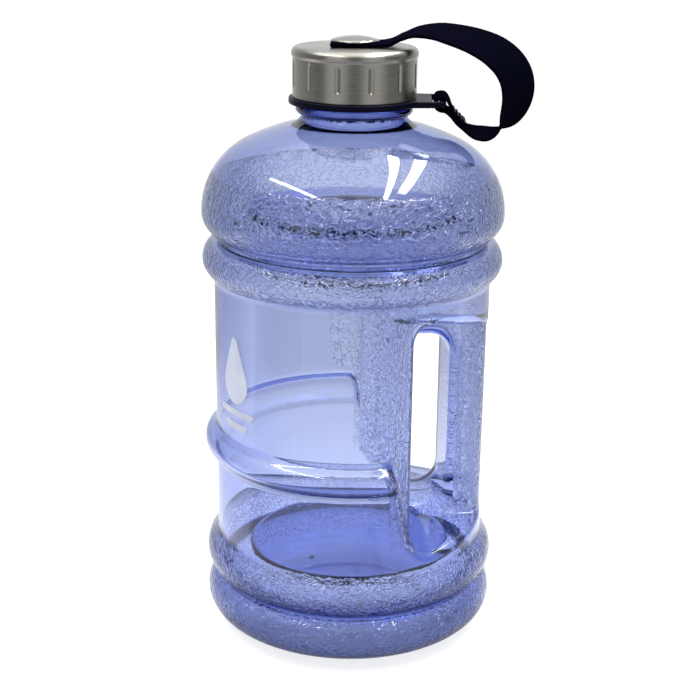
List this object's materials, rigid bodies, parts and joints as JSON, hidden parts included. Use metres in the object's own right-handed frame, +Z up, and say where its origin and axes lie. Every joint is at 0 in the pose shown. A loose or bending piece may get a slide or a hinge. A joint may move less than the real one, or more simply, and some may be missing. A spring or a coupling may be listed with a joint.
{
  "type": "large water jug",
  "caption": "Tall see-through blow-moulded water jug with ringed walls, a pinched-through grip, a steel-shelled screw lid and a webbing strap tethering the lid to a neck ring.",
  "frame": {"origin": "centre of the base, on the surface the jug stands on", "axes": "+Z up along the jug's axis; +X from the axis towards the grip column"},
  "size_m": [0.141, 0.13, 0.2681],
  "materials": {
    "jug_plastic": "see-through tinted gloss, pebbled on the rings, the lower shoulder and the grip",
    "print": "screen-printed ink, satin",
    "lid_steel": "brushed round the skirt, satin",
    "liner_plastic": "natural moulded",
    "gasket_rubber": "smooth soft",
    "rivet_steel": "polished dome, finely scratched",
    "webbing": "woven black polyester",
    "thread": "sewn thread",
    "ring_plastic": "black moulded, satin"
  },
  "bodies": {
    "bottle": {"jug_body": "jug_plastic", "printed_mark": "print"},
    "strap": {"neck_ring": "ring_plastic", "strap_webbing": "webbing", "strap_stitching": "thread"},
    "rivet": {"strap_rivet": "rivet_steel", "rivet_washer": "rivet_steel", "strap_spacer": "ring_plastic"},
    "lid": {"lid_shell": "lid_steel", "lid_liner": "liner_plastic", "lid_gasket": "gasket_rubber"}
  },
  "joints": [
    {"name": "ring_swivel", "type": "hinge", "parent": "bottle", "child": "strap", "pos_m": [0, 0, 0.2368], "axis": [0, 0, 1], "range_deg": [-60, 60]},
    {"name": "lid_rise", "type": "slide", "parent": "strap", "child": "rivet", "axis": [0, 0, 1], "range_m": [0, 0.00735], "deforming": ["strap_webbing", "strap_stitching"]},
    {"name": "lid_turn", "type": "hinge", "parent": "rivet", "child": "lid", "pos_m": [0, 0, 0.2485], "axis": [0, 0, 1], "range_deg": [0, 630]}
  ],
  "couplings": [
    {"joint": "lid_turn", "follows": "lid_rise", "rad_per_m": 1496}
  ]
}
